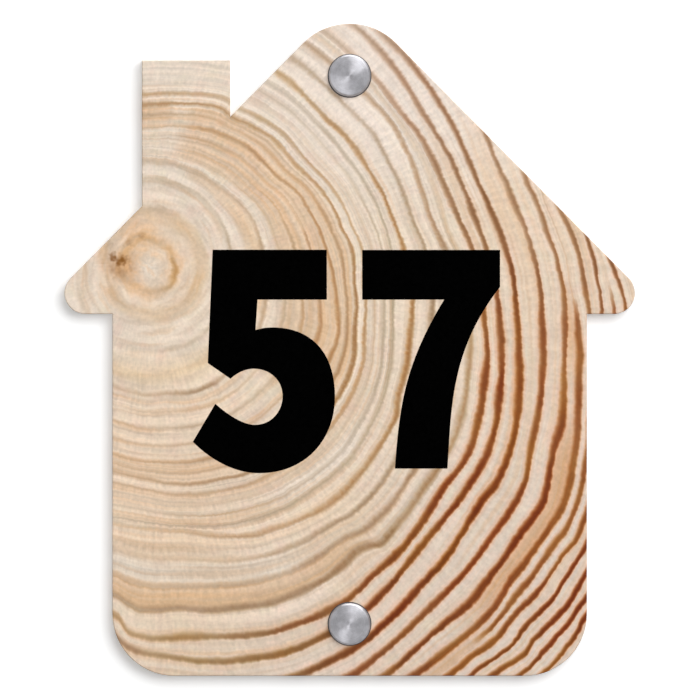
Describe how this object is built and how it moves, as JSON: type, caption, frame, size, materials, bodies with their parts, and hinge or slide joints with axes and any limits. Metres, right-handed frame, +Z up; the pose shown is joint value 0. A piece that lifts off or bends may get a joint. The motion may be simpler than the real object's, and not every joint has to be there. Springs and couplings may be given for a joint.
{
  "type": "door name plate",
  "caption": "House-shaped wooden door name plate with a chimney and rounded corners, held by countersunk wood screws hidden under round brushed-steel covers.",
  "frame": {"origin": "middle of the plate's back face, where it lies on the door, halfway between the two screws", "axes": "+X to the viewer's right, +Y into the door, +Z up the plate"},
  "size_m": [0.175, 0.0312, 0.2],
  "materials": {
    "softwood": "sanded, clear matt varnish",
    "brushed_steel": "spun brushed",
    "collar_steel": "turned",
    "screw_zinc": "zinc plated",
    "rubber_washer": "moulded, matt",
    "numeral_print": "matt print"
  },
  "bodies": {
    "root": {"house_plate": "softwood", "upper_washer": "rubber_washer", "upper_collar": "collar_steel", "upper_cap": "brushed_steel", "upper_screw": "screw_zinc", "lower_washer": "rubber_washer", "lower_collar": "collar_steel", "lower_cap": "brushed_steel", "lower_screw": "screw_zinc"}
  },
  "joints": []
}
